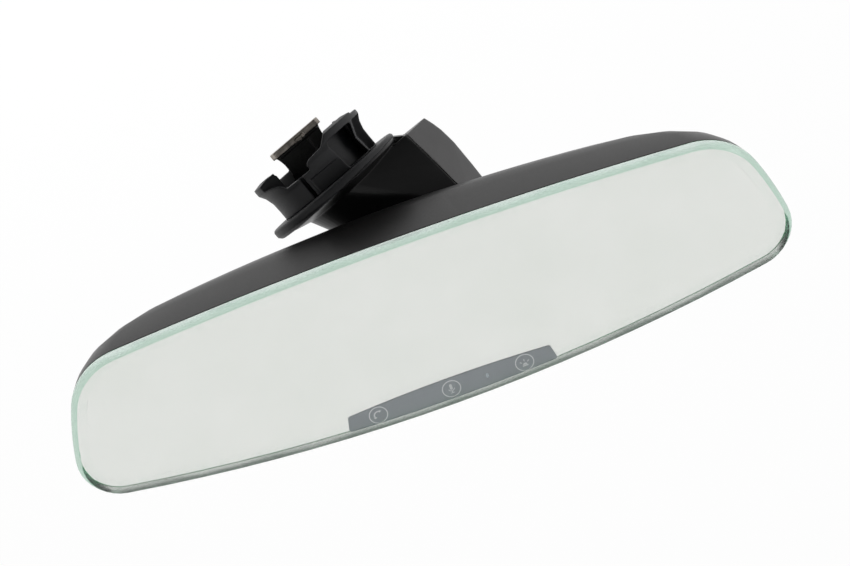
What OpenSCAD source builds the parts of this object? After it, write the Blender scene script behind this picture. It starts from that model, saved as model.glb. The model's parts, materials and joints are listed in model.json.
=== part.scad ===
// Interior rearview mirror: a frameless glass with touch icons on a deep rear housing,
// a ball joint at the back, and a short faired arm that ends in a bayonet foot.
//
// The head lies along X, its glass faces -Y and +Z is up. The foot leans away from the
// head, as the ball joint holds it. The origin is the centre of the hammerhead's flat top.

/* [Glass] */
// Greatest width of the mirror glass
glass_w = 254; // [248:1:262]
// Height of the glass on its centre line
glass_h = 68; // [66:1:72]
// Thickness of the front glass with its rounded edge
front_glass_t = 3.2; // [2.8:0.1:3.6]
// Thickness of the mirror-coated rear glass
rear_glass_t = 1.6; // [1.4:0.1:1.8]

/* [Housing] */
// Depth of the rear housing behind the front of the glass
housing_depth = 33; // [32:0.5:35]
// Wall thickness of the housing
housing_wall = 2; // [1.6:0.1:2.2]

/* [Ball joint] */
// Diameter of the ball
ball_d = 16; // [15:0.5:17]
// Distance of the ball centre behind the front of the glass
ball_back = 38; // [37.5:0.5:39]
// Sideways lean of the foot in the head's frame, in degrees
foot_lean_side = 22.5; // [20:0.1:25]
// Backward lean of the foot in the head's frame, in degrees
foot_lean_back = 23.4; // [22:0.1:25]

/* [Foot] */
// Radius of the foot's flange disc
disc_r = 26.5; // [26:0.5:28]
// Height of the flange disc's top above the ball centre
disc_top = 42; // [42:0.5:43]
// Height of the bayonet hub above the disc
hub_h = 15.5; // [15:0.5:16]
// Height of the hammerhead's flat top above the disc
hammer_h = 20.6; // [20:0.2:22]

/* [Hidden] */
$fn = 48;
eps = 0.01;
far = 200;

// Glass outline: shallow arcs joined by round corners, symmetric about X = 0
top_r = 1324;
bottom_r = 617;
side_r = 121;
side_tilt = 13.8;
side_x = glass_w / 2 - 1.5;
corner_top_r = 22.6;
corner_bottom_r = 15.1;
arc_steps = 9;

// Layers of the head, front to back
gap_t = 0.3;
cell_front = front_glass_t;
cell_back = cell_front + gap_t;
rear_back = cell_back + rear_glass_t;
foam_back = rear_back + 1;
carrier_back = foam_back + 2;
cell_inset = 2.6;
seal_w = 2.6;
icon_t = 0.2;
touch_board_t = 1;
touch_board_w = 82;
post_h = 3.9;
board_front = carrier_back + post_h;
board_t = 1.6;
board_back = board_front + board_t;

// Icon panel along the lower edge of the glass
icon_pitch = 26.3;
icon_z = -27.5;
ring_r = 3.35;
line_w = 0.4;
led_x = 13;
window_w = 80;
window_low = -29.6;
window_high = -23.8;

// Housing
rim_inset = 0.8;
rim_edge = 0.25;
lip_wall = 1.1;
lip_back = rear_back + 0.6;
rim_front = cell_front + 1;
dome_power = 9;
plan_power = 2.5;
screw_x = 86;
screw_z = 15;
collar_r = 17;
collar_bore = 13.4;
collar_back = 41;

// Boards and sensors
board_w = 120;
board_low = -14;
board_high = 26;
board_screw_x = 55;
board_screw_z = [-10, 22];
glare_at = [40, 8];
ambient_at = [34, 16];
mic_x = 30;
mic_y = 16;
plug_at = [-40, -9];
plug_w = 14;
plug_h = 9;

// Ball joint
ball_r = ball_d / 2;
liner_gap = 0.2;
liner_t = 1.8;
liner_r = ball_r + liner_gap;
socket_r = liner_r + liner_t + liner_gap;
socket_wall = 2.2;
mouth_lean = 30;
mouth_angle = 50;
ring_angle = 78;
flange_back = 27;
flange_t = 3;
stem_r = 4;
bush_gap = 0.05;
bush_r = 5.6;
ball_z = -1;

// Arm and foot, measured along the foot axis from the ball centre
foot_turn = 11.2;
foot_top = disc_top + hammer_h;
disc_t = 3;
arm_top = disc_top - disc_t;
arm_wall = 2;
cone_r = 15.5;
cone_low_r = 9.2;
cone_low = 26;
stud_collar_z = 23.6;
bush_low = 25.2;
clip_z = arm_top + 1.25;
seam_x = 29.8;
foot_screw_r = 10;
foot_axis = [-cos(foot_lean_back) * sin(foot_lean_side), sin(foot_lean_back),
             cos(foot_lean_back) * cos(foot_lean_side)];
ball_at = [0, ball_back, ball_z];

// ---------- outlines ----------

// One of the two points where two circles meet
function meet(c1, r1, c2, r2, side) =
    let (d = norm(c2 - c1), a = (r1 * r1 - r2 * r2 + d * d) / (2 * d), h = sqrt(r1 * r1 - a * a),
         u = (c2 - c1) / d)
    c1 + a * u + side * h * [-u[1], u[0]];
function bearing(c, p) = atan2(p[1] - c[1], p[0] - c[0]);
function arc(c, r, from, to, steps) =
    [for (i = [0:steps]) let (t = from + (to - from) * i / steps) c + r * [cos(t), sin(t)]];

top_c = [0, glass_h / 2 - top_r];
bottom_c = [0, bottom_r - glass_h / 2];
side_c = [side_x, 0] - side_r * [cos(side_tilt), sin(side_tilt)];
corner_top_c = meet(top_c, top_r - corner_top_r, side_c, side_r - corner_top_r, -1);
corner_bottom_c = meet(bottom_c, bottom_r - corner_bottom_r, side_c, side_r - corner_bottom_r, 1);
top_end = bearing(top_c, corner_top_c);
side_start = bearing(side_c, corner_top_c);
side_end = bearing(side_c, corner_bottom_c);
bottom_end = bearing(bottom_c, corner_bottom_c);

// Right half of the outline from the top to the bottom, set in by a distance
function half_outline(d) = concat(
    arc(top_c, top_r - d, 90, top_end, arc_steps),
    arc(corner_top_c, corner_top_r - d, top_end, side_start, arc_steps),
    arc(side_c, side_r - d, side_start, side_end, arc_steps),
    arc(corner_bottom_c, corner_bottom_r - d, side_end, bottom_end, arc_steps),
    arc(bottom_c, bottom_r - d, bottom_end, -90, arc_steps));
function whole_outline(half) = concat(half, [for (i = [len(half) - 1:-1:0]) [-half[i][0], half[i][1]]]);
function outline(d) = whole_outline(half_outline(d));

module slab(front, back) {
    translate([0, back, 0])
        rotate([90, 0, 0])
            linear_extrude(back - front)
                children();
}
module plate(front, back, inset) {
    slab(front, back)
        polygon(outline(inset));
}
module ring_plate(front, back, outer_inset, inner_inset) {
    difference() {
        plate(front, back, outer_inset);
        plate(front - 1, back + 1, inner_inset);
    }
}
// A cylinder along +Y between two depths
module rod_y(x, z, r, front, back) {
    translate([x, back, z])
        rotate([90, 0, 0])
            cylinder(r = r, h = back - front);
}

// The head's parts are drawn from the middle of the glass's front face
module place_head() {
    translate(-foot_top * foot_axis - ball_at)
        children();
}
// The foot's parts are drawn from the ball centre, +Z towards the windshield
module place_foot() {
    translate(-foot_top * foot_axis)
        rotate([0, -foot_lean_side, 0])
            rotate([-foot_lean_back, 0, 0])
                rotate([0, 0, foot_turn])
                    children();
}
module place_socket() {
    translate(ball_at)
        rotate([-mouth_lean, 0, 0])
            children();
}

// ---------- glass ----------

module front_glass() {
    color("honeydew", 0.5)
        place_head()
            hull() {
                for (s = [[0, 1.8], [0.12, 1.5], [2.6, 0.1], [cell_front - eps, 0]])
                    plate(s[0], s[0] + eps, s[1]);
            }
}

module cell_seal() {
    color("darkslategray")
        place_head()
            difference() {
                ring_plate(cell_front, cell_back, cell_inset, cell_inset + seal_w);
                slab(cell_front - 1, cell_back + 1)
                    offset(delta = 0.3)
                        panel_shape();
            }
}

module rear_glass() {
    color("gainsboro")
        place_head()
            plate(cell_back, rear_back, cell_inset);
}

// Spring-metal contact strip that wraps the rear glass along its upper or lower edge
module bus_clip(side) {
    clip_t = 0.2;
    clip_reach = 64;
    color("goldenrod")
        place_head()
            intersection() {
                union() {
                    ring_plate(cell_back + 0.1, rear_back + clip_t, cell_inset - clip_t, cell_inset);
                    ring_plate(rear_back, rear_back + clip_t, cell_inset - clip_t, cell_inset + 1.8);
                }
                translate([-clip_reach, 0, side > 0 ? 0 : -glass_h])
                    cube([2 * clip_reach, 20, glass_h]);
            }
}

// ---------- icon panel ----------

module panel_shape() {
    panel_inset = 2.6;
    end_slope = 0.26;
    panel_half_w = 38.4;
    panel_top_r = 500;
    panel_top_z = -23.2;
    offset(r = 1)
        offset(delta = -1)
            intersection() {
                polygon(outline(panel_inset));
                translate([0, panel_top_z - panel_top_r])
                    circle(r = panel_top_r, $fn = 360);
                polygon([[-panel_half_w, -glass_h / 2], [panel_half_w, -glass_h / 2],
                         [panel_half_w - end_slope * 12, -glass_h / 2 + 14],
                         [-panel_half_w + end_slope * 12, -glass_h / 2 + 14]]);
            }
}

module ring_shape(r, w) {
    difference() {
        circle(r = r);
        circle(r = r - w);
    }
}
// A stretch of a ring, from one angle to another
module ring_piece(r, w, from, to) {
    difference() {
        polygon(concat([[0, 0]], arc([0, 0], r, from, to, 8)));
        circle(r = r - w);
    }
}
module handset_shape() {
    rotate(45)
        difference() {
            union() {
                ring_piece(1.7, 0.55, 20, 160);
                for (side = [-1, 1])
                    translate([side * 1.42 - 0.42, 0])
                        square([0.84, 0.75]);
            }
            translate([-0.5, -1])
                square([1, 1.6]);
        }
}
module microphone_shape() {
    translate([-0.5, -0.2])
        square([1, 1.3]);
    translate([0, 1.1])
        circle(r = 0.5);
    translate([0, -0.2])
        circle(r = 0.5);
    translate([0, -0.1])
        ring_piece(1.2, 0.3, 190, 350);
    translate([-0.15, -1.9])
        square([0.3, 0.8]);
    translate([-0.7, -2.1])
        square([1.4, 0.3]);
}
module beacon_shape() {
    translate([-1, -1.4])
        square([2, 0.5]);
    difference() {
        translate([0, -0.8])
            circle(r = 0.8);
        translate([-1, -2.8])
            square([2, 2]);
    }
    for (turn = [-50, 0, 50])
        translate([0, -0.7])
            rotate(turn)
                translate([-0.16, 1.3])
                    square([0.32, 0.8]);
}
module symbol_shapes() {
    for (x = [-icon_pitch, 0, icon_pitch])
        translate([x, icon_z])
            ring_shape(ring_r, line_w);
    translate([-icon_pitch, icon_z])
        handset_shape();
    translate([0, icon_z + 0.3])
        microphone_shape();
    translate([icon_pitch, icon_z - 0.1])
        beacon_shape();
}
module led_shape() {
    for (z = [-0.45, 0.45])
        translate([led_x, icon_z + z])
            circle(r = 0.45);
    translate([led_x - 0.45, icon_z - 0.45])
        square([0.9, 0.9]);
}
module icon_mask() {
    color("slategray")
        place_head()
            slab(cell_front, cell_front + icon_t)
                difference() {
                    panel_shape();
                    symbol_shapes();
                    led_shape();
                }
}
module icon_symbols() {
    color("whitesmoke")
        place_head()
            slab(cell_front, cell_front + icon_t)
                symbol_shapes();
}
module led_window() {
    color("lavender")
        place_head()
            slab(cell_front, cell_front + icon_t)
                led_shape();
}
module light_guide() {
    color("white", 0.6)
        place_head()
            translate([-window_w / 2 + 0.3, rear_back + 0.25, window_low + 0.2])
                cube([window_w - 0.6, 1.9, window_high - window_low - 0.4]);
}
module touch_board() {
    color("darkgreen")
        place_head()
            translate([-touch_board_w / 2, carrier_back, -29.2])
                cube([touch_board_w, touch_board_t, 13]);
}
module leds() {
    led_size = 2;
    color("lightyellow")
        place_head()
            for (x = [-icon_pitch, 0, led_x, icon_pitch])
                translate([x - led_size / 2, carrier_back - 0.8, icon_z - led_size / 2])
                    cube([led_size, 0.8, led_size]);
}

// ---------- carrier ----------

// Notch in the layers behind the icons, open towards the glass's lower edge
module window_hole() {
    translate([-window_w / 2, 0, -glass_h])
        cube([window_w, 12, glass_h + window_high]);
}
module foam_pad() {
    color("dimgray")
        place_head()
            difference() {
                plate(rear_back, foam_back, 5.6);
                window_hole();
                rod_y(glare_at[0], glare_at[1], 3, 0, 12);
            }
}
module glass_carrier() {
    cup_r = 5;
    cup_back = carrier_back + 2;
    color("gray")
        place_head()
            difference() {
                union() {
                    scale([0.982, 1, 1])
                        plate(foam_back, carrier_back, 3.2);
                    for (x = [-screw_x, screw_x], z = [-screw_z, screw_z])
                        rod_y(x, z, cup_r, foam_back, cup_back);
                    for (x = [-board_screw_x, board_screw_x], z = board_screw_z)
                        rod_y(x, z, 3, foam_back, board_front);
                }
                window_hole();
                rod_y(glare_at[0], glare_at[1], 3, 0, 12);
                for (x = [-screw_x, screw_x], z = [-screw_z, screw_z]) {
                    rod_y(x, z, 3.2, foam_back - 1, carrier_back);
                    rod_y(x, z, 1.7, 0, 20);
                }
                for (x = [-board_screw_x, board_screw_x], z = board_screw_z)
                    rod_y(x, z, 1.05, carrier_back - 1, 20);
            }
}
module carrier_screws() {
    color("silver")
        place_head()
            for (x = [-screw_x, screw_x], z = [-screw_z, screw_z])
                difference() {
                    union() {
                        rod_y(x, z, 3, foam_back + 0.1, carrier_back);
                        rod_y(x, z, 1.5, foam_back + 0.1, carrier_back + 9);
                    }
                    rod_y(x, z, 1, foam_back, foam_back + 1.2);
                }
}

// ---------- housing ----------

// Domed body behind the glass: its plan is half an ellipse and its section nearly square.
// shrink is taken off the outline and the depth. Its front rim flares out a little.
module dome(front, shrink) {
    depth = housing_depth - shrink;
    start = (front - rim_front) / (depth - rim_front);
    hull() {
        if (front < lip_back)
            plate(rim_front, rim_front + eps, rim_edge + shrink);
        for (t = concat([start], [for (turn = [10, 20, 31, 42, 53, 63, 72, 80, 86]) sin(turn)])) {
            y = rim_front + t * (depth - rim_front);
            translate([0, y, 0])
                scale([pow(1 - pow(t, plan_power), 1 / plan_power), 1,
                       pow(1 - pow(y / (depth + eps), dome_power), 1 / dome_power)])
                    plate(0, eps, rim_inset + shrink);
        }
    }
}
module mic_seats() {
    for (x = [-mic_x, mic_x])
        translate([x, mic_y, -glass_h / 2 + rim_inset + 1])
            cylinder(r = 5, h = 2.4);
}
module mic_holes() {
    for (x = [-mic_x, mic_x], i = [-1, 0, 1])
        translate([x + 1.6 * i, mic_y, -far / 2])
            cylinder(r = 0.6, h = far / 2);
}
module socket_bosses(front, back, r) {
    for (x = [-17, 17], z = [-12, 12])
        rod_y(x, z + ball_z, r, front, back);
}
// Raised collar round the ball socket, cut away above where the stud swings
module socket_collar() {
    difference() {
        rod_y(0, ball_z, collar_r, housing_depth - 1, collar_back);
        place_socket()
            cylinder(r1 = 0, r2 = far * tan(mouth_angle + 4), h = far);
    }
}
module rear_housing() {
    color([0.12, 0.12, 0.12])
        place_head()
            difference() {
                union() {
                    difference() {
                        dome(rim_front, 0);
                        dome(lip_back, housing_wall);
                        intersection() {
                            dome(rim_front - eps, lip_wall);
                            plate(0, lip_back + 0.1, 0);
                        }
                    }
                    intersection() {
                        dome(lip_back, housing_wall / 2);
                        union() {
                            for (x = [-screw_x, screw_x], z = [-screw_z, screw_z])
                                rod_y(x, z, 4, carrier_back + 2.1, housing_depth);
                            socket_bosses(flange_back + 0.1, housing_depth, 3.6);
                            rod_y(ambient_at[0], ambient_at[1], 4, 27, housing_depth);
                            mic_seats();
                        }
                    }
                    socket_collar();
                }
                for (x = [-screw_x, screw_x], z = [-screw_z, screw_z])
                    rod_y(x, z, 1.55, 0, carrier_back + 11);
                socket_bosses(0, flange_back + 4.5, 1.3);
                rod_y(ambient_at[0], ambient_at[1], 2.6, 0, far);
                translate([plug_at[0] - plug_w / 2 - 0.3, 20, plug_at[1] - plug_h / 2 - 0.3])
                    cube([plug_w + 0.6, 20, plug_h + 0.6]);
                mic_holes();
                rod_y(0, ball_z, collar_bore, 20, far);
            }
}

// ---------- electronics ----------

module main_board() {
    color("darkgreen")
        place_head()
            difference() {
                translate([-board_w / 2, board_front, board_low])
                    cube([board_w, board_t, board_high - board_low]);
                for (x = [-board_screw_x, board_screw_x], z = board_screw_z)
                    rod_y(x, z, 1.4, 0, 20);
            }
}
module board_chips() {
    color([0.1, 0.1, 0.1])
        place_head() {
            translate([-14, board_back, 6])
                cube([14, 1.4, 14]);
            translate([8, board_back, 10])
                cube([8, 1.2, 6]);
            translate([-48, board_back, 8])
                cube([10, 4, 10]);
            for (x = [-30, -22])
                rod_y(x, 18, 3, board_back, board_back + 6);
        }
}
module board_screws() {
    color("silver")
        place_head()
            for (x = [-board_screw_x, board_screw_x], z = board_screw_z)
                difference() {
                    union() {
                        rod_y(x, z, 2.3, board_back, board_back + 1.6);
                        rod_y(x, z, 1, board_back - 5.4, board_back + 1.6);
                    }
                    rod_y(x, z, 0.8, board_back + 0.8, board_back + 2);
                }
}
module glare_sensor() {
    color("black")
        place_head()
            translate([glare_at[0] - 1.6, board_front - 2.5, glare_at[1] - 1.6])
                cube([3.2, 2.5, 3.2]);
}
module ambient_sensor() {
    color("black")
        place_head()
            translate([ambient_at[0] - 1.6, board_back, ambient_at[1] - 1.6])
                cube([3.2, 1.5, 3.2]);
}
module sensor_lens() {
    lens_back = rim_front + (housing_depth - rim_front) * sqrt(1 - pow(2 * ambient_at[0] / glass_w, 2)) + 0.2;
    color("darkgray", 0.7)
        place_head() {
            rod_y(ambient_at[0], ambient_at[1], 2.5, board_back + 2, lens_back);
            rod_y(ambient_at[0], ambient_at[1], 3.6, 25.4, 27);
        }
}
module connector_header() {
    header_back = 30.6;
    color([0.15, 0.15, 0.15])
        place_head()
            difference() {
                translate([plug_at[0] - plug_w / 2, board_back, plug_at[1] - plug_h / 2])
                    cube([plug_w, header_back - board_back, plug_h]);
                translate([plug_at[0] - plug_w / 2 + 1, header_back - 8.5, plug_at[1] - plug_h / 2 + 1])
                    cube([plug_w - 2, 20, plug_h - 2]);
            }
}
module connector_pins() {
    color("gold")
        place_head()
            for (i = [-1.5:1:1.5], z = [-1.3, 1.3])
                translate([plug_at[0] + 2.5 * i - 0.32, board_back, plug_at[1] + z - 0.32])
                    cube([0.64, 12.5, 0.64]);
}
module microphones() {
    color("silver")
        place_head()
            for (x = [-mic_x, mic_x])
                translate([x, mic_y, -glass_h / 2 + rim_inset + 4.4])
                    cylinder(r = 3, h = 2.2);
}
module mic_gaskets() {
    color([0.2, 0.2, 0.2])
        place_head()
            for (x = [-mic_x, mic_x])
                translate([x, mic_y, -glass_h / 2 + rim_inset + 3.4])
                    difference() {
                        cylinder(r = 4.4, h = 3);
                        translate([0, 0, 1])
                            cylinder(r = 3, h = 3);
                        translate([0, 0, -1])
                            cylinder(r = 2.6, h = 5);
                    }
}
module flex_ribbon() {
    ribbon_t = 0.3;
    touch_back = carrier_back + touch_board_t;
    color("orange")
        place_head()
            translate([-20, 0, 0])
                rotate([90, 0, 90])
                    linear_extrude(12)
                        polygon([[touch_back, -24], [touch_back, -17],
                                 [board_front - ribbon_t, -11.5], [board_front - ribbon_t, -6],
                                 [board_front, -6], [board_front, -11.8],
                                 [touch_back + ribbon_t, -17.3], [touch_back + ribbon_t, -24]]);
}

// ---------- ball joint ----------

// Half section of a spherical shell between two angles from the axis
module shell_section(inner, outer, from, to) {
    steps = 16;
    polygon(concat(arc([0, 0], outer, 90 - from, 90 - to, steps),
                   arc([0, 0], inner, 90 - to, 90 - from, steps)));
}
module ball_socket() {
    cup_r = socket_r + socket_wall;
    color("darkgray")
        place_head() {
            difference() {
                union() {
                    translate(ball_at)
                        sphere(r = cup_r);
                    rod_y(0, ball_z, cup_r, flange_back - flange_t, ball_back);
                    translate([-22, flange_back - flange_t, -17 + ball_z])
                        cube([44, flange_t, 34]);
                }
                translate(ball_at)
                    sphere(r = socket_r);
                place_socket()
                    translate([0, 0, cup_r * cos(ring_angle)])
                        cylinder(r = cup_r + 1, h = 40);
                socket_bosses(0, 40, 1.7);
            }
        }
}
module socket_ring() {
    color("darkgray")
        place_head()
            place_socket()
                rotate_extrude()
                    intersection() {
                        shell_section(socket_r, socket_r + socket_wall, mouth_angle, 90);
                        translate([0, (socket_r + socket_wall) * cos(ring_angle) + 0.02])
                            square(30);
                    }
}
module socket_screws() {
    color("silver")
        place_head() {
            difference() {
                union() {
                    socket_bosses(flange_back - flange_t - 2, flange_back - flange_t, 2.8);
                    socket_bosses(flange_back - flange_t - 2, flange_back + 4, 1.25);
                }
                socket_bosses(flange_back - flange_t - 2.5, flange_back - flange_t - 0.8, 1);
            }
        }
}
module ball_liner() {
    color("ivory")
        place_head()
            place_socket()
                rotate_extrude()
                    shell_section(liner_r, liner_r + liner_t, mouth_angle + 2, 180);
}
module ball_stud() {
    color("silver")
        place_foot()
            difference() {
                union() {
                    sphere(r = ball_r);
                    cylinder(r = stem_r, h = disc_top - 0.6);
                    translate([0, 0, stud_collar_z])
                        cylinder(r = stem_r + 1, h = bush_low - stud_collar_z - 0.1);
                }
                translate([0, 0, clip_z - 0.02])
                    difference() {
                        cylinder(r = stem_r + 1, h = 0.74);
                        translate([0, 0, -1])
                            cylinder(r = stem_r - 0.8, h = 3);
                    }
            }
}
module stud_clip() {
    color("dimgray")
        place_foot()
            translate([0, 0, clip_z])
                difference() {
                    cylinder(r = 6.2, h = 0.7);
                    translate([0, 0, -1])
                        cylinder(r = stem_r - 0.75, h = 3);
                    translate([0, -1.5, -1])
                        cube([10, 3, 3]);
                }
}
module stud_bush() {
    color("peru")
        place_foot()
            difference() {
                union() {
                    translate([0, 0, bush_low])
                        cylinder(r = bush_r, h = arm_top - bush_low);
                    translate([0, 0, arm_top])
                        cylinder(r = 7.2, h = 0.9);
                }
                cylinder(r = stem_r + bush_gap, h = far);
            }
}
module friction_washer() {
    color("lightgray")
        place_foot()
            translate([0, 0, arm_top + 0.9])
                difference() {
                    cylinder(r = 6.6, h = 0.3);
                    translate([0, 0, -1])
                        cylinder(r = stem_r + bush_gap, h = 3);
                }
}

// ---------- arm ----------

// Outer form of the arm: a cone under the disc, swept out into a flat-ended fairing.
// Each level gives a height and how far out the near and far corners of its end are.
arm_levels = [[arm_top - 1, 30.1, 38.8], [34.5, 30.9, 39.9], [31, 31.6, 40.7],
              [25, 32.4, 41.3], [15, 32.9, 41.2], [6, 33.1, 40.9]];
near_y = -6;
far_y = 8;
plate_t = 0.8;
seat_bore = 7.5;
module arm_form(shrink, low_drop) {
    corner_r = 1.6;
    hull() {
        translate([0, 0, arm_top - plate_t / 2 - 1.6 * shrink])
            cylinder(r = cone_r - shrink, h = eps);
        translate([0, 0, cone_low - low_drop])
            cylinder(r = cone_low_r - shrink - 0.45 * low_drop, h = eps);
        for (s = arm_levels) {
            z = min(s[0] - low_drop, arm_levels[0][0] - shrink);
            translate([s[1] - corner_r - shrink, near_y + corner_r + shrink * 0.9, z])
                cylinder(r = corner_r, h = eps, $fn = 24);
            translate([s[2] - corner_r - shrink, far_y - corner_r - shrink * 0.9, z])
                cylinder(r = corner_r, h = eps, $fn = 24);
        }
    }
}
// Everything below the arm's slanted lower rim
module below_rim() {
    rim_slope = 0.38;
    rim_mid = 24.6;
    rotate([90, 0, 0])
        translate([0, 0, -60])
            linear_extrude(120)
                polygon([[-60, -60], [80, -60], [80, rim_mid - rim_slope * 80],
                         [-60, rim_mid + rim_slope * 60]]);
}
module hollow_arm() {
    difference() {
        arm_form(0, 0);
        arm_form(arm_wall, 4);
        below_rim();
    }
}
// Space beyond the seam between the arm's shell and its end cover
module beyond_seam(gap) {
    seam_lean = 5;
    translate([seam_x + gap, -50, arm_top])
        rotate([0, -seam_lean, 0])
            translate([0, 0, -60])
                cube(100);
}
// Space above the tilted seat of the disc, outside a radius: the disc is thinner on the arm's side
module above_seat(r) {
    seat_lean = 3.15;
    difference() {
        translate([0, 0, arm_top])
            rotate([0, -seat_lean, 0])
                translate([-50, -50, 0])
                    cube([100, 100, 20]);
        cylinder(r = r, h = far);
    }
}
// Top plate of the arm, flared out to carry the disc, with a web that joins it to the arm's roof
module top_plate() {
    rotate_extrude($fn = 96)
        polygon([[0, arm_top - plate_t], [cone_r - 1.4, arm_top - 2.7], [disc_r - 0.6, arm_top],
                 [disc_r - 0.2, arm_top + 0.4], [disc_r - 0.2, arm_top + 2], [seat_bore, arm_top + 2],
                 [seat_bore, arm_top], [0, arm_top]]);
    intersection() {
        rotate_extrude($fn = 96)
            polygon([[20, arm_top - 2], [29.4, arm_top - 2], [29.4, arm_top - 0.7], [disc_r, arm_top + 1.3],
                     [20, arm_top + 1.3]]);
        translate([0, near_y + 0.5, 0])
            cube([40, far_y - near_y - 1, far]);
    }
}
module arm_shell() {
    color([0.13, 0.13, 0.13])
        place_foot()
            difference() {
                union() {
                    difference() {
                        hollow_arm();
                        beyond_seam(0);
                    }
                    top_plate();
                    translate([0, 0, bush_low])
                        cylinder(r = 7.2, h = arm_top - bush_low - plate_t / 2);
                }
                above_seat(seat_bore);
                cylinder(r = bush_r, h = far);
                foot_screw_rods(arm_top - 4.4, far, 1.3);
            }
}
module arm_cover() {
    color([0.2, 0.2, 0.2])
        place_foot()
            intersection() {
                hollow_arm();
                beyond_seam(0.2);
            }
}

// ---------- foot ----------

module foot_screw_rods(low, high, r) {
    for (turn = [90, 210, 330])
        rotate([0, 0, turn])
            translate([foot_screw_r, 0, low])
                cylinder(r = r, h = high - low);
}
module foot_disc() {
    edge = 0.6;
    bottom = arm_top - 0.9;
    color([0.2, 0.2, 0.2])
        place_foot()
            difference() {
                intersection() {
                    rotate_extrude($fn = 96)
                        polygon([[seat_bore + 0.1, bottom], [disc_r - 2 * edge, bottom],
                                 [disc_r, bottom + 2 * edge], [disc_r, disc_top - edge],
                                 [disc_r - edge, disc_top], [seat_bore + 0.1, disc_top]]);
                    above_seat(seat_bore);
                }
                foot_screw_rods(0, far, 1.7);
            }
}
hub_floor = 2.4;
hub_low_r = 20.1;
hub_bore = 14;
back_claw_h = 12.2;
ear_h = 14;
niche_r = 15.4;
module hub_wall() {
    flare = [[hub_low_r, 0], [20.1, 3.4], [20.2, 7], [21, 10], [22.4, 12.4], [22.4, hub_h - 0.7]];
    rotate_extrude($fn = 96)
        polygon(concat([[0, 0]], flare, [[19.4, hub_h], [15.5, hub_h], [hub_bore, 12],
                                         [hub_bore, hub_floor], [0, hub_floor]]));
}
// Space on the near side, up to a depth, with its shape given by places along X and heights
module near_cut(depth, shape) {
    translate([0, -depth, 0])
        rotate([90, 0, 0])
            linear_extrude(40)
                polygon(shape);
}
// The two sides of the hub are alike, half a turn apart, but for the heights of two claws
module hub_side() {
    top = hub_h + 5;
    // low stretch of wall in front of the post, rising into a claw on the right
    near_cut(6, [[-12.9, 8.6], [-2.8, 8.5], [-2.9, 10], [-2.2, 11], [-0.8, 11.5], [4.7, 12],
                 [7.5, 14.3], [8.8, hub_h], [8.8, top], [-12.9, top]]);
    // slanted front lip of the left claw
    near_cut(10.5, [[-26, 13.4], [-19.4, 12.6], [-16.8, 11.9], [-14.4, 10.7], [-12.9, 8.6],
                    [-9, 8.6], [-9, top], [-26, top]]);
    // step down in the left claw's top
    near_cut(-4, [[-13.3, 14.2], [-8, 14.2], [-8, top], [-13.3, top]]);
    // three-cornered pocket in the left claw's top
    translate([0, 0, 9.6])
        linear_extrude(12)
            polygon([[-19.4, -2], [-17.4, -9.4], [-16.2, -9.4], [-15.4, -2]]);
    // narrow slot beside the left claw
    near_cut(14.6, [[-7.6, -1], [-6.3, -1], [-6.3, 9.6], [-7.6, 9.6]]);
    // flat face in the middle
    near_cut(18.7, [[-5, -1], [7.6, -1], [7.6, 5.7], [-5, 5.9]]);
    difference() {
        union() {
            // hollow niche in the right claw
            near_cut(2.2, [[8, 0.4], [7.4, 5.9], [6.9, 10.6], [7.3, 11.6], [8.3, 12.3], [17, 12.3],
                           [17.5, 11.8], [15.7, 6.8], [16.3, 0.4]]);
            // recess in the right claw's outer wall, with a thin web between it and the niche
            near_cut(2.2, [[17, 0.4], [16.5, 6.8], [18.6, 12.3], [30, 12.3], [30, 0.4]]);
        }
        cylinder(r = niche_r, h = hub_h);
    }
}
module bayonet_hub() {
    color([0.16, 0.16, 0.16])
        place_foot()
            translate([0, 0, disc_top])
                difference() {
                    hub_wall();
                    hub_side();
                    rotate([0, 0, 180])
                        hub_side();
                    // lower claw at the back on the left
                    translate([-30, 3, back_claw_h])
                        cube([21.4, 30, 10]);
                    // claw's end on the right
                    near_cut(-30, [[14.2, hub_h], [17.3, ear_h], [30, ear_h], [30, hub_h + 5],
                                   [14.2, hub_h + 5]]);
                    foot_screw_rods(-1, 7, 1.7);
                    hammer_screw_rods(-1, 7, 1.3);
                }
}
module hammer_screw_rods(low, high, r) {
    for (p = [[0, -8], [-6.4, 7.2], [6.4, 7.2]])
        translate([p[0], p[1], low])
            cylinder(r = r, h = high - low);
}
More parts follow.
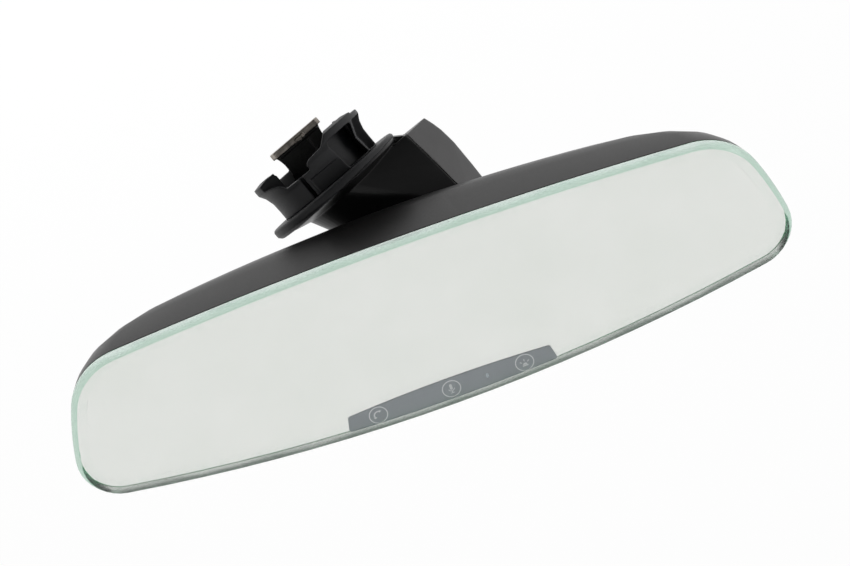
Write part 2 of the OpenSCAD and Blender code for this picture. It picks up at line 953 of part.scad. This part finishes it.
module hammerhead() {
    base_t = 2;
    post_w = 18.4;
    post_d = 6.4;
    waist_r = 14;
    waist_cut = 0.8;
    waist_up = 13.5;
    pad_at = 3.6;
    pad_w = 5.2;
    pad_d = 1.1;
    head_t = 2.2;
    head_w = 20.8;
    head_d = 12;
    corner = 1.2;
    notch_w = 3.9;
    notch_d = 1.6;
    step_t = 0.9;
    post_top = hammer_h - head_t + 0.5;
    color([0.45, 0.44, 0.42])
        place_foot()
            translate([0, 0, disc_top])
                difference() {
                    union() {
                        difference() {
                            union() {
                                translate([-post_w / 2, -10, hub_floor])
                                    cube([post_w, 20, base_t]);
                                translate([-post_w / 2, -post_d / 2, hub_floor])
                                    cube([post_w, post_d, post_top - hub_floor]);
                                translate([pad_at, -post_d / 2 - pad_d, hub_floor])
                                    cube([pad_w, post_d / 2, post_top - hub_floor]);
                            }
                            for (side = [-1, 1])
                                translate([side * (post_w / 2 + waist_r - waist_cut), 12, waist_up])
                                    rotate([90, 0, 0])
                                        cylinder(r = waist_r, h = 24);
                        }
                        translate([0, 0, hammer_h - head_t])
                            linear_extrude(head_t)
                                polygon([for (p = [[1, 1], [-1, 1], [-1, -1], [1, -1]], side = [0, 1])
                                    [p[0] * (head_w / 2 - corner * (p[0] * p[1] > 0 ? side : 1 - side)),
                                     p[1] * (head_d / 2 - corner * (p[0] * p[1] > 0 ? 1 - side : side))]]);
                        translate([1 - post_w / 2, 1 - head_d / 2, hammer_h - head_t - step_t])
                            cube([post_w - 2, head_d - 2, step_t + 0.5]);
                    }
                    // notch under the front edge of the head
                    for (turn = [0, 180])
                        rotate([0, 0, turn])
                            translate([-0.6, -head_d / 2 - 1, hammer_h - head_t - 1])
                                cube([notch_w, notch_d + 1, head_t]);
                    hammer_screw_rods(0, 10, 1.7);
                    foot_screw_rods(0, 10, 2.8);
                }
}
module foot_screws() {
    seat = disc_top + hub_floor;
    head_top = seat + 1.8;
    color("silver")
        place_foot()
            difference() {
                union() {
                    foot_screw_rods(seat, head_top, 2.3);
                    foot_screw_rods(arm_top - 3.3, head_top, 1.25);
                }
                foot_screw_rods(head_top - 0.9, head_top + 1, 0.9);
            }
}
module hammer_screws() {
    seat = disc_top + hub_floor + 2;
    color("silver")
        place_foot()
            difference() {
                union() {
                    hammer_screw_rods(seat, seat + 1.8, 2.6);
                    hammer_screw_rods(disc_top + 0.1, seat + 1.8, 1.25);
                }
                hammer_screw_rods(seat + 0.9, seat + 3, 0.9);
            }
}

front_glass();
cell_seal();
icon_mask();
icon_symbols();
led_window();
rear_glass();
bus_clip(1);  // bus_clip_top
bus_clip(-1);  // bus_clip_bottom
foam_pad();
light_guide();
touch_board();
leds();
glass_carrier();
rear_housing();
carrier_screws();
main_board();
board_chips();
board_screws();
glare_sensor();
ambient_sensor();
sensor_lens();
connector_header();
connector_pins();
microphones();
mic_gaskets();
flex_ribbon();
ball_socket();
socket_ring();
socket_screws();
ball_liner();
ball_stud();
stud_clip();
stud_bush();
friction_washer();
arm_shell();
arm_cover();
foot_disc();
bayonet_hub();
hammerhead();
foot_screws();
hammer_screws();
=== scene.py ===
"""Interior rearview mirror with touch icons: finishes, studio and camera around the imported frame.

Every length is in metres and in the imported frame. Patterns read Object coordinates, which are metres
too, so a pattern of a given width is scaled by per_width().
"""
import json
import math

import bpy
from mathutils import Matrix, Vector


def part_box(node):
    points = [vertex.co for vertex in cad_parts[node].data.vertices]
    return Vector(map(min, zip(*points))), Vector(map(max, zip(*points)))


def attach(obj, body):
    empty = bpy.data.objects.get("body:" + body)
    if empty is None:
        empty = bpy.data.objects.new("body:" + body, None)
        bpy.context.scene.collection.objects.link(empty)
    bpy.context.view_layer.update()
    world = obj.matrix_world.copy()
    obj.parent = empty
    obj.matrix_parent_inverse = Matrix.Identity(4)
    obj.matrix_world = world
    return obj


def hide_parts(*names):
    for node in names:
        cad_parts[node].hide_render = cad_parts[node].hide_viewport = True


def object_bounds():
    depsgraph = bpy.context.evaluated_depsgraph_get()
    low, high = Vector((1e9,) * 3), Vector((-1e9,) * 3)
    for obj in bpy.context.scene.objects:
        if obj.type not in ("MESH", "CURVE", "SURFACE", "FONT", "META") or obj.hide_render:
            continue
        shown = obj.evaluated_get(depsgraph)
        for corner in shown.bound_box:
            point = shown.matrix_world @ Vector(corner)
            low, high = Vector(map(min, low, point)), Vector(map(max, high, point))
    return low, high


MM = 0.001
WHITE = "#ffffff"

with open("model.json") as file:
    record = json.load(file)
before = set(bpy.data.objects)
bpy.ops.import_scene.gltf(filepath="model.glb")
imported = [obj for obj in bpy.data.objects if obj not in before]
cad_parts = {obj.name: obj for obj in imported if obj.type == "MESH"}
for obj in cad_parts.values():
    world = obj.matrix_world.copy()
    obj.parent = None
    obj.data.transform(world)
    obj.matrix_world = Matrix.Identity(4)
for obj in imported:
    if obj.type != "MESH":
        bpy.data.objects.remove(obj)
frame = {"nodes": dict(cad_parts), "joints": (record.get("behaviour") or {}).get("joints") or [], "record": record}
cad_low, cad_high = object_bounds()
nodes = frame["nodes"]
body_of = {node: body for body, members in frame["record"]["behaviour"]["bodies"].items() for node in members}
bpy.ops.object.select_all(action="DESELECT")

glass_low, glass_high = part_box("front_glass")
face_mid = Vector(((glass_low.x + glass_high.x) / 2, glass_low.y, (glass_low.z + glass_high.z) / 2))


def placed(name, data):
    """A new object with this data, linked into the scene."""
    made = bpy.data.objects.new(name, data)
    bpy.context.scene.collection.objects.link(made)
    return made


# ---------------------------------------------------------------- camera
VIEW_ELEVATION = math.radians(30)
VIEW_ROLL = math.radians(-19.8)
VIEW_DISTANCE = 926 * MM
SENSOR_ACROSS = 36
LENS = 118.6
NEAR_CLIP = 50 * MM
FAR_CLIP = 50
AIM_RISE = 13.6 * MM
AIM_RIGHT = 2.74 * MM
AIM_UP = 3.2 * MM

level_up = Vector((0, math.sin(VIEW_ELEVATION), math.cos(VIEW_ELEVATION)))
view_right = Vector((1, 0, 0)) * math.cos(VIEW_ROLL) + level_up * math.sin(VIEW_ROLL)
view_up = level_up * math.cos(VIEW_ROLL) - Vector((1, 0, 0)) * math.sin(VIEW_ROLL)
view_back = view_right.cross(view_up)

camera = placed("camera", bpy.data.cameras.new("camera"))
camera.data.sensor_width = SENSOR_ACROSS
camera.data.lens = LENS
camera.data.clip_start = NEAR_CLIP
camera.data.clip_end = FAR_CLIP
aim = face_mid + Vector((0, 0, AIM_RISE)) + AIM_RIGHT * view_right + AIM_UP * view_up
turned = Matrix((view_right, view_up, view_back)).transposed().to_4x4()
camera.matrix_world = Matrix.Translation(aim + VIEW_DISTANCE * view_back) @ turned
bpy.context.scene.camera = camera


# ---------------------------------------------------------------- making materials
# A speckle's values stay mostly between these two.
SPECKLE_LOW = 0.3
SPECKLE_HIGH = 0.7


def linear(code):
    """One sRGB hex value as a linear colour."""
    parts = [int(code[i : i + 2], 16) / 255 for i in (1, 3, 5)]
    return tuple(c / 12.92 if c <= 0.04045 else ((c + 0.055) / 1.055) ** 2.4 for c in parts) + (1.0,)


def per_width(width):
    """The texture scale that makes one feature of a pattern this wide, in metres."""
    return 1 / width


def add(tree, kind, sockets=(), **options):
    """Adds one node with its options, and fills its sockets with values or with other nodes' outputs."""
    made = tree.nodes.new("ShaderNode" + kind)
    for name, value in options.items():
        setattr(made, name, value)
    for key, value in dict(sockets).items():
        if isinstance(value, bpy.types.NodeSocket):
            tree.links.new(value, made.inputs[key])
        else:
            made.inputs[key].default_value = value
    return made


def begin(name):
    """A new material, its empty node tree, and the place on the piece that its patterns read."""
    material = bpy.data.materials.new(name)
    material.use_nodes = True
    material.node_tree.nodes.clear()
    return material, material.node_tree, add(material.node_tree, "TexCoord").outputs["Object"]


def coat(tree, sockets, volume=None):
    """The surface that a material ends in, with a volume behind it if it has one."""
    surface = add(tree, "BsdfPrincipled", sockets)
    ends = {"Surface": surface.outputs["BSDF"]}
    if volume is not None:
        ends["Volume"] = volume
    add(tree, "OutputMaterial", ends)


def speckle(tree, where, width, detail=2.0):
    """A cloudy pattern whose spots are about this wide, from 0 to 1."""
    sockets = {"Vector": where, "Scale": per_width(width), "Detail": detail}
    return add(tree, "TexNoise", sockets).outputs["Fac"]


def between(tree, spread, low, high):
    """Brings the useful middle of a speckle to a range of numbers."""
    ends = {"From Min": SPECKLE_LOW, "From Max": SPECKLE_HIGH, "To Min": low, "To Max": high}
    return add(tree, "MapRange", {"Value": spread, **ends}).outputs["Result"]


def blend_of(tree, spread, dark, light):
    """The colour between two sRGB hex values that a speckle picks."""
    fac = between(tree, spread, 0.0, 1.0)
    return add(tree, "Mix", {0: fac, 6: linear(dark), 7: linear(light)}, data_type="RGBA").outputs[2]


def relief(tree, height, depth):
    """The normal of a surface whose pattern stands this proud, in metres."""
    return add(tree, "Bump", {"Height": height, "Distance": depth, "Strength": 1.0}).outputs["Normal"]


# ---------------------------------------------------------------- finishes
PLASTIC_INDEX = 1.5
GLASS_INDEX = 1.52
ACRYLIC_INDEX = 1.49
GLASS_GREEN = "#8fdcc0"
GLASS_WAVE_DEPTH = 0.001 * MM

# A real cured resin's index is near the glass's. One close to air's hardly bends light, so that the
# seal draws no arcs of its own along the glass's edge.
RESIN_INDEX = 1.01

# Widths of slow clouds and fine marks, depths of reliefs, and how far a roughness strays either way.
MELT_CLOUD = 16 * MM
MELT_ROUGHNESS = 0.05
METAL_CLOUD = 3 * MM
METAL_ROUGHNESS = 0.07
SILVER_CLOUD = 24 * MM
RESIN_CLOUD = 4 * MM
ACRYLIC_CLOUD = 2 * MM
ACRYLIC_ROUGHNESS = 0.05
PRINT_MESH = 0.25 * MM
PRINT_DEPTH = 0.004 * MM
FOAM_CELL = 0.6 * MM
FOAM_DEPTH = 0.15 * MM
TRACK_PITCH = 9 * MM
TRACK_SHARE = 0.03
TRACK_DEPTH = 0.03 * MM


def moulded(name, dark, light, rough, grain, depth, specular):
    """Injection-moulded plastic: an eroded grain, and a slow cloudiness where the melt cooled unevenly."""
    material, tree, where = begin(name)
    pits = speckle(tree, where, grain)
    coat(
        tree,
        {
            "Base Color": blend_of(tree, speckle(tree, where, MELT_CLOUD), dark, light),
            "Roughness": between(tree, pits, rough - MELT_ROUGHNESS, rough + MELT_ROUGHNESS),
            "Specular IOR Level": specular,
            "IOR": PLASTIC_INDEX,
            "Normal": relief(tree, pits, depth),
        },
    )
    return material


def worked_metal(name, dark, light, rough, grain, depth):
    """Bare or plated metal, with a fine unevenness left by rolling, plating or casting."""
    material, tree, where = begin(name)
    marks = speckle(tree, where, grain, 4.0)
    coat(
        tree,
        {
            "Base Color": blend_of(tree, speckle(tree, where, METAL_CLOUD), dark, light),
            "Metallic": 1.0,
            "Roughness": between(tree, marks, rough - METAL_ROUGHNESS, rough + METAL_ROUGHNESS),
            "Normal": relief(tree, marks, depth),
        },
    )
    return material


def float_glass(name, tone, rough, density, wave):
    """Soda-lime float glass, polished or ground: no colour face on, and green along the sheet."""
    material, tree, where = begin(name)
    green = {"Color": linear(GLASS_GREEN), "Density": density}
    tint = add(tree, "VolumeAbsorption", green).outputs["Volume"]
    coat(
        tree,
        {
            "Base Color": linear(tone),
            "Transmission Weight": 1.0,
            "Roughness": rough,
            "IOR": GLASS_INDEX,
            "Normal": relief(tree, speckle(tree, where, wave), GLASS_WAVE_DEPTH),
        },
        tint,
    )
    return material


def silvered_glass():
    """Glass with a vacuum-coated mirror layer: near-neutral silver, with a very faint cloudiness."""
    material, tree, where = begin("silvered_glass")
    coat(
        tree,
        {
            "Base Color": blend_of(tree, speckle(tree, where, SILVER_CLOUD, 3.0), "#e1e2de", "#e5e5e2"),
            "Metallic": 1.0,
            "Roughness": 0.0,
        },
    )
    return material


def cell_resin():
    """Clear ultraviolet-cured resin round the dimming gel, which hardly shows beside the glass."""
    material, tree, where = begin("cell_resin")
    coat(
        tree,
        {
            "Base Color": blend_of(tree, speckle(tree, where, RESIN_CLOUD), "#fbfdfc", WHITE),
            "Transmission Weight": 1.0,
            "Roughness": 0.0,
            "IOR": RESIN_INDEX,
        },
    )
    return material


def screen_ink(name, dark, light):
    """Screen-printed ceramic ink: flat and even, with the mesh's faint texture in it."""
    material, tree, where = begin(name)
    mesh = speckle(tree, where, PRINT_MESH)
    coat(
        tree,
        {
            "Base Color": blend_of(tree, mesh, dark, light),
            "Roughness": between(tree, mesh, 0.5, 0.6),
            "Specular IOR Level": 0.2,
            "Normal": relief(tree, mesh, PRINT_DEPTH),
        },
    )
    return material


def clear_moulding(name, tone, rough):
    """Clear acrylic: water-clear, a little soft from the mould."""
    material, tree, where = begin(name)
    cloud = speckle(tree, where, ACRYLIC_CLOUD)
    coat(
        tree,
        {
            "Base Color": linear(tone),
            "Transmission Weight": 0.9,
            "Roughness": between(tree, cloud, rough, rough + ACRYLIC_ROUGHNESS),
            "IOR": ACRYLIC_INDEX,
        },
    )
    return material


def foam_rubber():
    """Closed-cell polyethylene foam: charcoal, matte, pitted by cut cells."""
    material, tree, where = begin("closed_cell_foam")
    grid = {"Vector": where, "Scale": per_width(FOAM_CELL)}
    cells = add(tree, "TexVoronoi", grid).outputs["Distance"]
    coat(
        tree,
        {
            "Base Color": blend_of(tree, cells, "#26272a", "#3c3e42"),
            "Roughness": 0.95,
            "Specular IOR Level": 0.1,
            "Normal": relief(tree, cells, FOAM_DEPTH),
        },
    )
    return material


def circuit_laminate():
    """Glass-epoxy laminate under green solder resist: copper tracks show through it as paler lines."""
    material, tree, where = begin("solder_resist_laminate")
    tracks = add(
        tree,
        "TexBrick",
        {
            "Vector": where,
            "Scale": per_width(TRACK_PITCH),
            "Color1": linear("#14502f"),
            "Color2": linear("#175934"),
            "Mortar": linear("#2f8a52"),
            "Mortar Size": TRACK_SHARE,
        },
    )
    coat(
        tree,
        {
            "Base Color": tracks.outputs["Color"],
            "Roughness": 0.35,
            "Normal": relief(tree, tracks.outputs["Fac"], TRACK_DEPTH),
        },
    )
    return material


# A moulded row gives its two colours, roughness, grain, depth of grain and specular level; a row of
# worked metal gives the same without the last.
FINISHES = {
    "clear_glass": float_glass("float_glass", WHITE, rough=0.0, density=7.0, wave=22 * MM),
    "mirror_glass": silvered_glass(),
    "cell_resin": cell_resin(),
    "mask_paint": screen_ink("grey_screen_ink", "#a9afb6", "#afb5bc"),
    "symbol_print": screen_ink("pale_screen_ink", "#f4f6f8", "#fbfcfd"),
    "led_tint": clear_moulding("led_window_acrylic", "#d9dfe6", 0.15),
    "spring_brass": worked_metal("spring_brass", "#b08a3e", "#c79d4c", 0.32, 0.3 * MM, 0.004 * MM),
    "foam": foam_rubber(),
    "clear_plastic": clear_moulding("light_guide_acrylic", "#f2f5f7", 0.05),
    "circuit_board": circuit_laminate(),
    "chip_plastic": moulded("chip_epoxy", "#1b1c1e", "#242528", 0.55, 0.2 * MM, 0.004 * MM, 0.4),
    "housing_plastic": moulded("grained_abs", "#1e1d1d", "#242323", 0.36, 0.45 * MM, 0.006 * MM, 0.42),
    "carrier_plastic": moulded(
        "talc_filled_polypropylene", "#2b2c2e", "#35363a", 0.6, 0.5 * MM, 0.02 * MM, 0.3
    ),
    "steel": worked_metal("zinc_plated_steel", "#a9adb0", "#c0c3c4", 0.34, 0.25 * MM, 0.004 * MM),
    "gold_plate": worked_metal("gold_plated_bronze", "#c9a24a", "#dbb860", 0.24, 0.2 * MM, 0.002 * MM),
    "seal_rubber": moulded("moulded_rubber", "#1c1c1d", "#232324", 0.75, 0.4 * MM, 0.01 * MM, 0.25),
    "ribbon_film": moulded("polyimide_film", "#8a4e16", "#9c5c1d", 0.3, 0.5 * MM, 0.003 * MM, 0.5),
    "socket_plastic": moulded("glass_filled_acetal", "#2c2c2d", "#353536", 0.5, 0.4 * MM, 0.012 * MM, 0.3),
    "liner_plastic": moulded("natural_acetal", "#cfcdc6", "#dad8d1", 0.35, 0.6 * MM, 0.004 * MM, 0.45),
    "foot_plastic": moulded("glass_filled_nylon", "#373738", "#3f3f40", 0.5, 0.5 * MM, 0.012 * MM, 0.3),
    # The cover's lighter grey is painted light on its lit face; it is the same black plastic as the housing and
    # arm.
    "cover_plastic": moulded("cover_abs_painted_light", "#535252", "#5a5959", 0.4, 0.45 * MM, 0.006 * MM, 0.6),
    # The arm's near black is painted shade on its face away from the lamp; it is the same black plastic as the
    # housing and cover.
    "arm_plastic": moulded("arm_abs_painted_shade", "#121212", "#151515", 0.34, 0.5 * MM, 0.004 * MM, 0.3),
    "cast_zinc": worked_metal("die_cast_zinc", "#847e78", "#b4ada5", 0.5, 0.5 * MM, 0.05 * MM),
}

# Second finishes on a part of a piece's faces: the casting below its bearing plate, darkened there as painted
# shade, and the glass's edge.
# The ground edge is the same glass as the sheet; its lower density is chosen for a pale rim.
CASTING_PAINTED_SHADE = moulded("zinc_painted_shade", "#121212", "#2a2927", 0.55, 0.4 * MM, 0.05 * MM, 0.3)
GROUND_EDGE = float_glass("ground_glass_edge", "#f6fbf8", rough=0.22, density=1.3, wave=0.6 * MM)

# ---------------------------------------------------------------- pieces
SLOT_OF = {
    "front_glass": "clear_glass",
    "cell_seal": "cell_resin",
    "icon_mask": "mask_paint",
    "icon_symbols": "symbol_print",
    "led_window": "led_tint",
    "rear_glass": "mirror_glass",
    "bus_clip_top": "spring_brass",
    "bus_clip_bottom": "spring_brass",
    "foam_pad": "foam",
    "light_guide": "clear_plastic",
    "touch_board": "circuit_board",
    "leds": "clear_plastic",
    "glass_carrier": "carrier_plastic",
    "rear_housing": "housing_plastic",
    "carrier_screws": "steel",
    "main_board": "circuit_board",
    "board_chips": "chip_plastic",
    "board_screws": "steel",
    "glare_sensor": "chip_plastic",
    "ambient_sensor": "chip_plastic",
    "sensor_lens": "clear_plastic",
    "connector_header": "socket_plastic",
    "connector_pins": "gold_plate",
    "microphones": "steel",
    "mic_gaskets": "seal_rubber",
    "flex_ribbon": "ribbon_film",
    "ball_socket": "socket_plastic",
    "socket_ring": "socket_plastic",
    "socket_screws": "steel",
    "ball_liner": "liner_plastic",
    "ball_stud": "steel",
    "stud_clip": "steel",
    "stud_bush": "liner_plastic",
    "friction_washer": "liner_plastic",
    "arm_shell": "arm_plastic",
    "arm_cover": "cover_plastic",
    "foot_disc": "foot_plastic",
    "bayonet_hub": "foot_plastic",
    "hammerhead": "cast_zinc",
    "foot_screws": "steel",
    "hammer_screws": "steel",
}

for node, slot in SLOT_OF.items():
    nodes[node].data.materials.clear()
    nodes[node].data.materials.append(FINISHES[slot])


# Facets this close are joined. Rounds are shaded smooth up to the first two turns in degrees, and what
# turns by less than the third is one flat face.
WELD = 0.002 * MM
CASE_TURN = 40
GLASS_TURN = 60
FLAT_TURN = 1

# How far each pass of wear brings a point towards its neighbours.
WEAR = 0.5

# The bright plate's depth below the hammerhead's top.
PLATE_DEEP = 2.2 * MM

# How much of a face's normal lies along Y: more than BACK_FACE on the glass's flat back, and less than
# FLAT_FACE, either way, on its ground edge.
BACK_FACE = 0.99
FLAT_FACE = 0.95

# The air behind the front glass, and the film's place inside its outline and behind its back.
AIR_GAP = 0.02 * MM
COAT_OUT = 0.05 * MM
COAT_BACK = 0.23 * MM


def only(piece):
    """Selects one piece and makes it the active one."""
    bpy.ops.object.select_all(action="DESELECT")
    piece.select_set(True)
    bpy.context.view_layer.objects.active = piece


def finished(piece, body, slot, replaced=()):
    """Gives a new piece its slot's material, and lets it ride."""
    piece.data.materials.clear()
    piece.data.materials.append(FINISHES[slot])
    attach(piece, body)
    if replaced:
        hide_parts(*replaced)
    return piece


def applied(piece, kind, **settings):
    """Adds one modifier with these settings and applies it."""
    change = piece.modifiers.new(kind.lower(), kind)
    for name, value in settings.items():
        setattr(change, name, value)
    bpy.ops.object.modifier_apply(modifier=change.name)


def copied(name, node):
    """A copy of a solid under another name, its facets joined up."""
    piece = placed(name, nodes[node].data.copy())
    only(piece)
    bpy.ops.object.mode_set(mode="EDIT")
    bpy.ops.mesh.select_all(action="SELECT")
    bpy.ops.mesh.remove_doubles(threshold=WELD)
    bpy.ops.object.mode_set(mode="OBJECT")
    return piece


def smoothed(node, turn):
    """A copy of a solid whose rounds are shaded smooth, up to this turn in degrees between two facets."""
    piece = copied(node + "_finished", node)
    bpy.ops.object.shade_smooth_by_angle(angle=math.radians(turn))
    return finished(piece, body_of[node], SLOT_OF[node], (node,))


def softened(node, grain, passes, keep=0.35, grown=0.0):
    """A copy of a solid in a fine even mesh, its edges worn round as they come out of a mould.

    The grain is the fine mesh's, keep is the share of its triangles that stay, and grown is how far the
    copy is swollen before it all: a wall as thin as the grain would leave holes.
    """
    piece = smoothed(node, CASE_TURN)
    only(piece)
    if grown:
        applied(piece, "DISPLACE", mid_level=0, strength=grown)
    applied(piece, "REMESH", mode="VOXEL", voxel_size=grain)
    applied(piece, "SMOOTH", factor=WEAR, iterations=passes)
    applied(piece, "DECIMATE", ratio=keep)
    bpy.ops.object.shade_smooth()
    return piece


def edit(piece, pick):
    """Opens a piece in edit mode with only the faces that pick() wants selected."""
    only(piece)
    bpy.context.tool_settings.mesh_select_mode = (False, False, True)
    bpy.ops.object.mode_set(mode="EDIT")
    bpy.ops.mesh.select_all(action="DESELECT")
    bpy.ops.object.mode_set(mode="OBJECT")
    for face in piece.data.polygons:
        face.select = pick(face)
    bpy.ops.object.mode_set(mode="EDIT")


def hammer():
    """The hammerhead, its bearing plate bright and all that is below it darkened as painted shade."""
    casting = softened("hammerhead", grain=0.25 * MM, passes=4)
    casting.data.materials.append(CASTING_PAINTED_SHADE)
    swivel = next(joint for joint in frame["joints"] if joint["name"] == "swivel")
    foot_way = Vector(swivel["axis"]).normalized()
    foot_way *= math.copysign(1, foot_way.z)
    plate_top = max(vertex.co.dot(foot_way) for vertex in casting.data.vertices)
    for face in casting.data.polygons:
        # Faces below the bearing plate take the darker finish: painted shade under the plate.
        face.material_index = int(face.center.dot(foot_way) < plate_top - PLATE_DEEP)


def front_sheet():
    """The front glass, its faces flat up to the ground edge, with air between it and the cell."""
    sheet = smoothed("front_glass", GLASS_TURN)
    edit(sheet, lambda face: face.normal.y > BACK_FACE)
    bpy.ops.transform.translate(value=(0, -AIR_GAP, 0))
    bpy.ops.object.mode_set(mode="OBJECT")
    applied(sheet, "WEIGHTED_NORMAL", keep_sharp=True, weight=100)
    sheet.data.materials.append(GROUND_EDGE)
    for face in sheet.data.polygons:
        face.material_index = int(abs(face.normal.y) < FLAT_FACE)


def edge_coat():
    """A silver film over the whole face, from behind the printed panel out over seal and rim.

    It lies behind the front glass, in front of the rear glass and within the seal's thickness, so that
    the mirror reaches the glass's edge, where the cell's own coat would end at the seal.
    """
    film = copied("edge_coat", "front_glass")
    edit(film, lambda face: face.normal.y < BACK_FACE)
    bpy.ops.mesh.delete(type="FACE")
    bpy.ops.mesh.select_all(action="SELECT")
    bpy.ops.mesh.dissolve_limited(angle_limit=math.radians(FLAT_TURN))
    bpy.ops.mesh.select_all(action="SELECT")
    bpy.ops.mesh.inset(thickness=COAT_OUT)
    bpy.ops.mesh.select_all(action="INVERT")
    bpy.ops.mesh.delete(type="FACE")
    bpy.ops.mesh.select_all(action="SELECT")
    bpy.ops.mesh.flip_normals()
    bpy.ops.transform.translate(value=(0, COAT_BACK, 0))
    bpy.ops.object.mode_set(mode="OBJECT")
    finished(film, "head", "mirror_glass")


smoothed("rear_housing", CASE_TURN)
# The shell's wall is under half a millimetre in places, so its copy is swollen and its grain finer.
softened("arm_shell", grain=0.2 * MM, passes=6, keep=0.12, grown=0.15 * MM)
softened("arm_cover", grain=0.3 * MM, passes=4)
softened("foot_disc", grain=0.3 * MM, passes=2)
softened("bayonet_hub", grain=0.3 * MM, passes=3)
hammer()
front_sheet()
edge_coat()

# ---------------------------------------------------------------- studio
# The white surround is dark along DARK_WAY. It fades between these two values of a direction's dot
# product with DARK_WAY.
DARK_WAY = (0, -0.55, 1)
FADE_FROM = 0.66
FADE_TO = 0.85
FADED = 0.02
DIM_LIGHT = 0.12
FLOOR_DROP = 260 * MM
FLOOR_ACROSS = 12
PAPER_PULP = 1.5 * MM
PAPER_GLOW = 0.97
KEY_FROM = Vector((-0.085, 0.94, 0.3))
LAMPS_AWAY = 1.6
KEY_ACROSS = 0.35
KEY_POWER = 18.0
SIDE_FROM = Vector((1, -0.15, 0.3))
SIDE_ACROSS = 0.8
SIDE_POWER = 7.0


def white_for_eyes(tree):
    """1 for rays from the camera, off a mirror or through glass, and 0 for the rays that light things."""
    path = add(tree, "LightPath").outputs
    straight = {0: path["Is Camera Ray"], 1: path["Is Glossy Ray"]}
    some = add(tree, "Math", straight, operation="MAXIMUM").outputs[0]
    through = {0: some, 1: path["Is Transmission Ray"]}
    return add(tree, "Math", through, operation="MAXIMUM").outputs[0]


world = bpy.data.worlds.new("studio")
bpy.context.scene.world = world
world.use_nodes = True
world.node_tree.nodes.clear()
sky = world.node_tree
dim = add(sky, "Background", {"Color": linear("#d8dde2"), "Strength": DIM_LIGHT}).outputs[0]
way = add(sky, "TexCoord").outputs["Generated"]
lean = add(sky, "VectorMath", {0: way, 1: DARK_WAY}, operation="DOT_PRODUCT").outputs["Value"]
fade = {"Value": lean, "From Min": FADE_FROM, "From Max": FADE_TO, "To Min": 1.0, "To Max": FADED}
sweep = add(sky, "MapRange", fade).outputs["Result"]
bright = add(sky, "Background", {"Color": linear(WHITE), "Strength": sweep}).outputs[0]
seen = add(sky, "MixShader", {0: white_for_eyes(sky), 1: dim, 2: bright}).outputs[0]
add(sky, "OutputWorld", {"Surface": seen})


def paper():
    """Seamless paper: nearly white to the eye, with a trace of the soft shadow, and clear from below."""
    material, tree, where = begin("seamless_paper")
    pulp = speckle(tree, where, PAPER_PULP)
    sheet = add(
        tree,
        "BsdfPrincipled",
        {
            "Base Color": blend_of(tree, pulp, "#e6e6e6", "#ececec"),
            "Roughness": 0.9,
            "Specular IOR Level": 0.1,
        },
    ).outputs["BSDF"]
    glow = add(tree, "Emission", {"Color": linear(WHITE), "Strength": 1.0}).outputs[0]
    lit = {0: white_for_eyes(tree), 1: PAPER_GLOW}
    share = add(tree, "Math", lit, operation="MULTIPLY").outputs[0]
    shown = add(tree, "MixShader", {0: share, 1: sheet, 2: glow}).outputs[0]
    under = add(tree, "BsdfTransparent").outputs[0]
    side = add(tree, "NewGeometry").outputs["Backfacing"]
    both = add(tree, "MixShader", {0: side, 1: shown, 2: under}).outputs[0]
    add(tree, "OutputMaterial", {"Surface": both})
    return material


bpy.ops.object.select_all(action="DESELECT")
floor_at = (face_mid.x, face_mid.y, cad_low.z - FLOOR_DROP)
bpy.ops.mesh.primitive_plane_add(size=FLOOR_ACROSS, location=floor_at)
floor = bpy.context.object
floor.name = "floor"
floor.data.materials.append(paper())


def softbox(name, from_way, across, power):
    """A round lamp that faces the object from this direction and shows in no reflection."""
    lamp = placed(name, bpy.data.lights.new(name, "AREA"))
    lamp.data.shape = "DISK"
    lamp.data.size = across
    lamp.data.energy = power
    way = from_way.normalized()
    lamp.location = (cad_low + cad_high) / 2 + LAMPS_AWAY * way
    lamp.rotation_euler = way.to_track_quat("Z", "Y").to_euler()
    lamp.visible_glossy = False


softbox("key", KEY_FROM, KEY_ACROSS, KEY_POWER)
softbox("side", SIDE_FROM, SIDE_ACROSS, SIDE_POWER)

bpy.context.scene.view_settings.view_transform = "Standard"
# The glass sends light to and fro between its faces many times.
bounces = bpy.context.scene.cycles
bounces.max_bounces = 32
bounces.glossy_bounces = 24
bounces.transmission_bounces = 24
